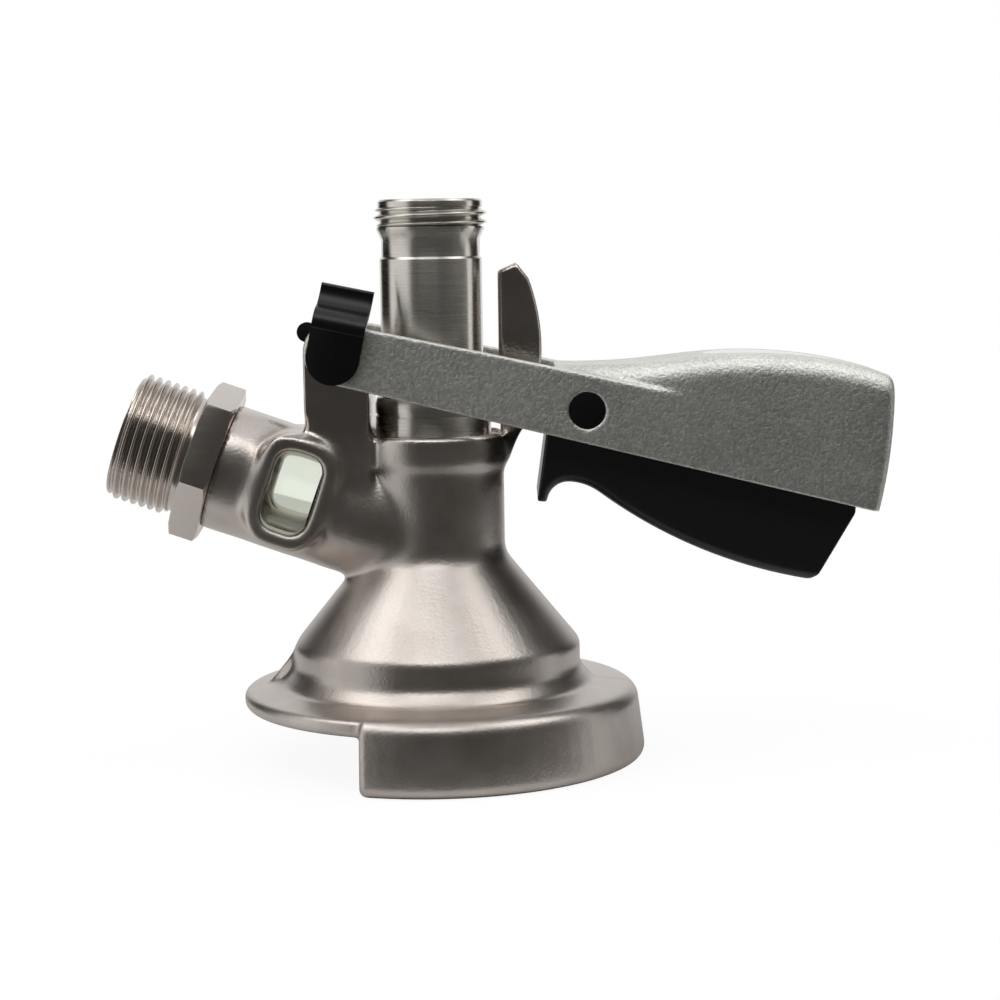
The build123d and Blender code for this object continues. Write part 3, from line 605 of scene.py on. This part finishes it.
# %% Trigger
trigger_triangles = 150000
trigger_body = copy_of_solid("trigger", "trigger_body")
cast_skin(trigger_body, 0.3 * mm, 17)
thin_out(trigger_body, trigger_triangles)
finish_piece(trigger_body, "trigger", "black_plastic", black_nylon, "trigger")

# %% [markdown]
# ## Clip, keeper and pins
#
# The clip and the keeper are stamped from sheet, and the pins are cut from wire and bar, so their
# edges have only a small break.

# %% Clip, keeper and pins
for node, name, slot, material in [("pin_clip", "clip_plate", "black_steel", black_coat),
                                   ("pin_keeper", "keeper_plate", "black_steel", black_coat),
                                   ("trigger_pin", "trigger_pin_end", "black_steel", black_coat),
                                   ("hinge_pin", "hinge_pin_end", "stainless", turned_steel)]:
    piece = copy_of_solid(node, name)
    break_edges(piece, 0.25 * mm)
    finish_piece(piece, "handle", slot, material, node)

# %% [markdown]
# ## Solids that keep their CAD shape
#
# The small turned and moulded pieces are right as they are, and only get their finish.

# %% Finishes of the other solids
kept_solids = [
    (sight_glass_finish, ["sight_glass"]),
    (black_rubber, ["sight_glass_seal_inner", "sight_glass_seal_outer", "fitting_o_ring", "check_valve",
                    "keg_seal", "probe_o_ring_lower", "probe_o_ring_upper", "probe_seal"]),
    (white_nylon, ["check_valve_ring", "guide_bush", "ball_cage"]),
    (turned_steel, ["check_ball", "drive_studs", "trigger_spring"]),
    (white_gloss, ["handle_inlay"])]
for material, nodes in kept_solids:
    for node in nodes:
        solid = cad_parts[node]
        solid.data.materials.clear()
        solid.data.materials.append(material)
        pick(solid)
        bpy.ops.object.shade_smooth_by_angle(angle=radians(35))
    print(material.name, "on", nodes)

# %% [markdown]
# ## The floor
#
# The photograph is a plain product shot on white. The object stands on a round sheet of white
# paper that ends just in front of it, so that its near faces mirror the dark room in front and
# not the paper. The camera sees the paper mostly by its own glow, which is white, and for the rest
# by the light that falls on it, so that a faint shadow stays.

# %% Floor
paper_radius = 0.22
paper_centre = (0, 0.165, 0)
glow_share = 0.88

bpy.ops.object.select_all(action="DESELECT")
bpy.ops.mesh.primitive_circle_add(vertices=128, radius=paper_radius, fill_type="NGON",
                                  location=paper_centre)
floor = bpy.context.object
floor.name = "floor"
floor_finish, tree, shader, _ = new_finish("white_paper", "#F0F0F0", 0.0, 0.9)
glow = add_node(tree, "ShaderNodeEmission", Color=linear("#FFFFFF"), Strength=1.05)
paths = add_node(tree, "ShaderNodeLightPath")
glowing = add_node(tree, "ShaderNodeMath", {"operation": "MULTIPLY"}, _0=paths.outputs["Is Camera Ray"],
                   _1=glow_share)
paper = add_node(tree, "ShaderNodeMixShader", _0=glowing.outputs["Value"], _1=shader.outputs["BSDF"],
                 _2=glow.outputs["Emission"])
tree.links.new(paper.outputs["Shader"], tree.nodes["Material Output"].inputs["Surface"])
floor.data.materials.append(floor_finish)
print("paper ends", round((paper_radius - paper_centre[1]) / mm), "mm in front of the main axis")

# %% [markdown]
# ## The lamps
#
# Three large soft lamps hang high up: in front, on the left and on the right. High lamps light
# the upward slopes of the cone and the grip, and stay out of the upright faces' reflections.

# %% Lamps
lamp_aim = Vector((0, 0, 55)) * mm


def soft_lamp(name, place, width, height, power):
    """A rectangular soft lamp that looks at the object. Lengths are in millimetres."""
    lamp = bpy.data.lights.new(name, "AREA")
    lamp.shape = "RECTANGLE"
    lamp.size = width * mm
    lamp.size_y = height * mm
    lamp.energy = power
    holder = bpy.data.objects.new(name, lamp)
    bpy.context.scene.collection.objects.link(holder)
    holder.location = Vector(place) * mm
    holder.rotation_euler = (lamp_aim - holder.location).to_track_quat("-Z", "Y").to_euler()
    print(name, power, "W")


soft_lamp("front_lamp", (-40, -400, 680), 420, 260, 0.62)
soft_lamp("left_lamp", (-400, -60, 640), 340, 360, 0.62)
soft_lamp("right_lamp", (400, -20, 640), 320, 360, 0.6)

# %% [markdown]
# ## The room that the metal mirrors
#
# Metal shows what stands round it, so the surroundings matter more than the metal's own colour.
# They could be modelled as walls and cards, but here the world's colour follows from the
# direction, which is quicker to render and can't stand in the camera's way. They are those of a
# small studio: a white sweep behind the object, a tall soft light on the left, a narrow one on
# the right, dark room behind the camera, and black cards at the rear corners, which draw the
# dark bands down the sides of the probe and the cone. Bearings are in degrees: 0 is behind the
# camera, -90 is left, 90 is right and 180 is straight ahead.

# %% Ring of surroundings
surroundings = [
    (-152, "#FFFFFF"),  # the sweep behind the object ends here on the left
    (-144, "#1C1A18"),  # black card at the rear left
    (-110, "#1A1816"),
    (-100, "#FFFFFF"),  # tall soft light on the left
    (-54, "#E6E6E6"),
    (-42, "#4E4D4B"),  # dark room behind the camera
    (0, "#484745"),
    (60, "#545351"),
    (90, "#6A6866"),
    (95, "#FFFFFF"),  # narrow light on the right
    (107, "#FFFFFF"),
    (112, "#1C1A18"),  # black card at the rear right
    (144, "#201E1C"),
    (152, "#FFFFFF")]  # the sweep starts again

world = bpy.data.worlds.new("studio")
bpy.context.scene.world = world
world.use_nodes = True
tree = world.node_tree
direction = add_node(tree, "ShaderNodeTexCoord").outputs["Generated"]
axes = add_node(tree, "ShaderNodeSeparateXYZ", Vector=direction)
to_camera = add_node(tree, "ShaderNodeMath", {"operation": "MULTIPLY"}, _0=axes.outputs["Y"], _1=-1.0)
bearing = add_node(tree, "ShaderNodeMath", {"operation": "ARCTAN2"}, _0=axes.outputs["X"],
                   _1=to_camera.outputs["Value"])
turn_share = add_node(tree, "ShaderNodeMapRange", Value=bearing.outputs["Value"], From_Min=-pi,
                      From_Max=pi)
ring = ramp(tree, turn_share.outputs["Result"],
            [((degrees + 180) / 360, colour) for degrees, colour in surroundings])
print("ring of", len(surroundings), "stops")

# %% [markdown]
# ## The ceiling
#
# A soft white ceiling closes the room. It starts where a direction rises by 0.66 of its length,
# which is 41 degrees up, and is full at 0.8, which is 53 degrees up. Its middle is a little
# darker than its sides, so that level faces stay a little greyer than the paper.

# %% Ceiling
ceiling_starts, ceiling_full = 0.66, 0.8
middle_half, sides_start = 0.02, 0.25
room_strength = 0.9

sideways = add_node(tree, "ShaderNodeMath", {"operation": "ABSOLUTE"}, _0=axes.outputs["X"])
ceiling = ramp(tree, sideways.outputs["Value"], [(middle_half, "#C4C2C0"), (sides_start, "#FFFFFF")])
height = add_node(tree, "ShaderNodeMapRange", Value=axes.outputs["Z"], From_Min=ceiling_starts,
                  From_Max=ceiling_full)
around = add_node(tree, "ShaderNodeMix", {"data_type": "RGBA"}, _0=height.outputs["Result"], _6=ring,
                  _7=ceiling)
room = tree.nodes["Background"]
tree.links.new(around.outputs[2], room.inputs["Color"])
room.inputs["Strength"].default_value = room_strength
print("room strength", room_strength)

# %% [markdown]
# ## What the camera sees behind the object
#
# The camera, and the view through the sight glass, see plain white instead of the room.

# %% White background
white = add_node(tree, "ShaderNodeBackground", Color=linear("#FFFFFF"), Strength=1.0)
paths = add_node(tree, "ShaderNodeLightPath")
direct = add_node(tree, "ShaderNodeMath", {"operation": "MAXIMUM"}, _0=paths.outputs["Is Camera Ray"],
                  _1=paths.outputs["Is Transmission Ray"])
studio = add_node(tree, "ShaderNodeMixShader", _0=direct.outputs["Value"], _1=room.outputs["Background"],
                  _2=white.outputs["Background"])
tree.links.new(studio.outputs["Shader"], tree.nodes["World Output"].inputs["Surface"])
print("background white for the camera")

# %% [markdown]
# ## The end
#
# The dressed pieces, the floor, the lamps, the room and the camera are in place.

# %% The end
print("scene ready")
